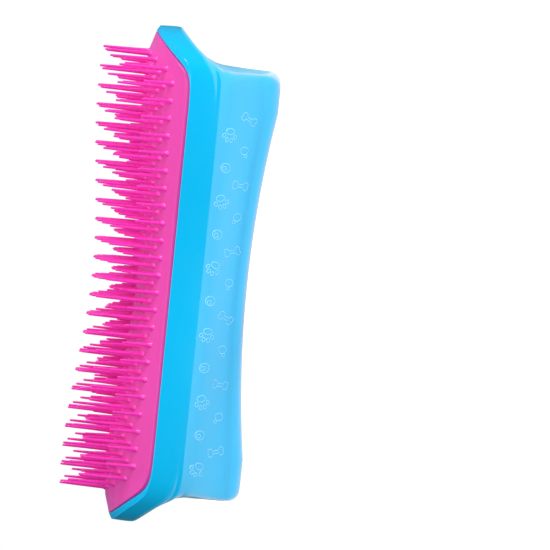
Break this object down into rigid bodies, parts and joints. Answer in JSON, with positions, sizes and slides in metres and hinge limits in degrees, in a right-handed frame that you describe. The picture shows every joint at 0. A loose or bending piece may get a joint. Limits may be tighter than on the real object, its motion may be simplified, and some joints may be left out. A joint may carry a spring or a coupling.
{
  "type": "pet grooming brush",
  "caption": "Palm-held pet grooming brush: glossy waisted grip shell with end wings, carrying an arched elastomer pad with alternating rows of long and short flexible teeth.",
  "frame": {"origin": "middle of the brush in plan, at the height of the two flat lands on the back of the grip", "axes": "+X along the brush, +Y across it, +Z the way the teeth point"},
  "size_m": [0.185, 0.0686, 0.0672],
  "materials": {
    "shell_plastic": "gloss, moulded",
    "carrier_plastic": "as moulded",
    "pad_elastomer": "satin",
    "tooth_elastomer": "satin, slightly translucent"
  },
  "bodies": {
    "root": {"handle_shell": "shell_plastic", "pad_carrier": "carrier_plastic", "bristle_pad": "pad_elastomer", "long_teeth": "tooth_elastomer", "short_teeth": "tooth_elastomer"}
  },
  "joints": []
}
